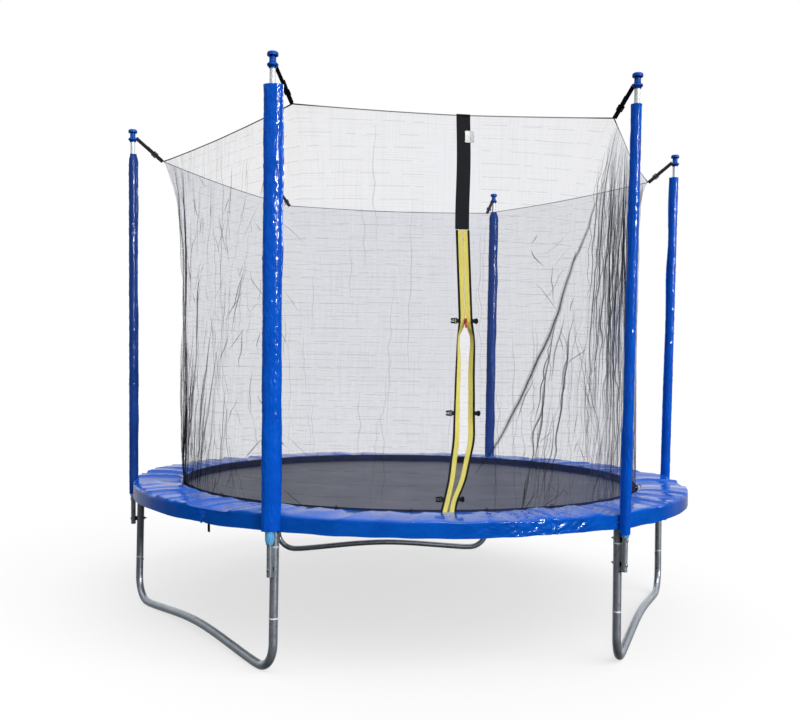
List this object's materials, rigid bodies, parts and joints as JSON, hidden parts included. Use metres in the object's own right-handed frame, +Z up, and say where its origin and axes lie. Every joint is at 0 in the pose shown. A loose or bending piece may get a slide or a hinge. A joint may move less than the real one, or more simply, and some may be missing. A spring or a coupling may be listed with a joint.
{
  "type": "trampoline",
  "caption": "Round garden trampoline: tube ring on U-shaped legs, sprung mat, padded rim, and padded poles holding a corner-hung safety net with a zipped door.",
  "frame": {"origin": "on the ground under the middle of the mat", "axes": "+Z up; -Y out through the middle of the door panel; +X to the right of someone facing the door, through a pole"},
  "size_m": [3.2092, 3.049, 2.611],
  "materials": {
    "galvanised_tube": "galvanised, satin",
    "spring_steel": "zinc plated",
    "blue_pvc": "glossy PVC-coated cloth over foam",
    "cap_plastic": "moulded, satin",
    "black_webbing": "woven webbing",
    "mat_weave": "woven polypropylene",
    "net_mesh": "knitted mesh",
    "zip_tape": "woven tape with black bindings",
    "buckle_plastic": "moulded",
    "pull_plastic": "moulded"
  },
  "bodies": {
    "frame": {"top_rail_1": "galvanised_tube", "leg_extension_1": "galvanised_tube", "pole_lower_1": "galvanised_tube", "pole_upper_1": "galvanised_tube", "pole_sleeve_1": "blue_pvc", "pole_cap_1": "cap_plastic", "net_strap_1": "black_webbing", "top_rail_2": "galvanised_tube", "leg_extension_2": "galvanised_tube", "pole_lower_2": "galvanised_tube", "pole_upper_2": "galvanised_tube", "pole_sleeve_2": "blue_pvc", "pole_cap_2": "cap_plastic", "net_strap_2": "black_webbing", "top_rail_3": "galvanised_tube", "leg_extension_3": "galvanised_tube", "pole_lower_3": "galvanised_tube", "pole_upper_3": "galvanised_tube", "pole_sleeve_3": "blue_pvc", "pole_cap_3": "cap_plastic", "net_strap_3": "black_webbing", "top_rail_4": "galvanised_tube", "leg_extension_4": "galvanised_tube", "pole_lower_4": "galvanised_tube", "pole_upper_4": "galvanised_tube", "pole_sleeve_4": "blue_pvc", "pole_cap_4": "cap_plastic", "net_strap_4": "black_webbing", "top_rail_5": "galvanised_tube", "leg_extension_5": "galvanised_tube", "pole_lower_5": "galvanised_tube", "pole_upper_5": "galvanised_tube", "pole_sleeve_5": "blue_pvc", "pole_cap_5": "cap_plastic", "net_strap_5": "black_webbing", "top_rail_6": "galvanised_tube", "leg_extension_6": "galvanised_tube", "pole_lower_6": "galvanised_tube", "pole_upper_6": "galvanised_tube", "pole_sleeve_6": "blue_pvc", "pole_cap_6": "cap_plastic", "net_strap_6": "black_webbing", "base_leg_1": "galvanised_tube", "base_leg_2": "galvanised_tube", "base_leg_3": "galvanised_tube", "spring_ring": "spring_steel", "pad": "blue_pvc", "net": "net_mesh", "door_band": "black_webbing", "zip_tape_left": "zip_tape", "zip_tape_right": "zip_tape"},
    "mat": {"mat": "mat_weave"},
    "zip_slider": {"zip_slider": "buckle_plastic"},
    "zip_pull": {"zip_pull": "pull_plastic"},
    "buckle_left_upper": {"buckle_left_upper": "buckle_plastic"},
    "buckle_right_upper": {"buckle_right_upper": "buckle_plastic"},
    "buckle_left_middle": {"buckle_left_middle": "buckle_plastic"},
    "buckle_right_middle": {"buckle_right_middle": "buckle_plastic"},
    "buckle_left_lower": {"buckle_left_lower": "buckle_plastic"},
    "buckle_right_lower": {"buckle_right_lower": "buckle_plastic"}
  },
  "joints": [
    {"name": "mat_bounce", "type": "slide", "parent": "frame", "child": "mat", "axis": [0, 0, 1], "range_m": [-0.35, 0], "stiffness_N_per_m": 4000, "springref_m": 0.05, "deforming": ["spring_ring"]},
    {"name": "zip_slide", "type": "slide", "parent": "frame", "child": "zip_slider", "axis": [-0.0447, 0.0204, 0.9988], "range_m": [-0.08, 0.385]},
    {"name": "zip_pull_swing", "type": "hinge", "parent": "zip_slider", "child": "zip_pull", "pos_m": [0.06491, -1.25057, 1.517], "axis": [0.999, 0, 0.0447], "range_deg": [-170, 0]},
    {"name": "buckle_left_upper_swing", "type": "hinge", "parent": "frame", "child": "buckle_left_upper", "pos_m": [0.036, -1.25537, 1.515], "axis": [0, 0, 1], "range_deg": [0, 170]},
    {"name": "buckle_right_upper_swing", "type": "hinge", "parent": "frame", "child": "buckle_right_upper", "pos_m": [0.094, -1.25537, 1.515], "axis": [0, 0, 1], "range_deg": [-170, 0]},
    {"name": "buckle_left_middle_swing", "type": "hinge", "parent": "frame", "child": "buckle_left_middle", "pos_m": [0.01807, -1.26364, 1.11], "axis": [0, 0, 1], "range_deg": [0, 170]},
    {"name": "buckle_right_middle_swing", "type": "hinge", "parent": "frame", "child": "buckle_right_middle", "pos_m": [0.10682, -1.26364, 1.11], "axis": [0, 0, 1], "range_deg": [-170, 0]},
    {"name": "buckle_left_lower_swing", "type": "hinge", "parent": "frame", "child": "buckle_left_lower", "pos_m": [-0.025, -1.2713, 0.735], "axis": [0, 0, 1], "range_deg": [0, 170]},
    {"name": "buckle_right_lower_swing", "type": "hinge", "parent": "frame", "child": "buckle_right_lower", "pos_m": [0.0525, -1.2713, 0.735], "axis": [0, 0, 1], "range_deg": [-170, 0]}
  ]
}
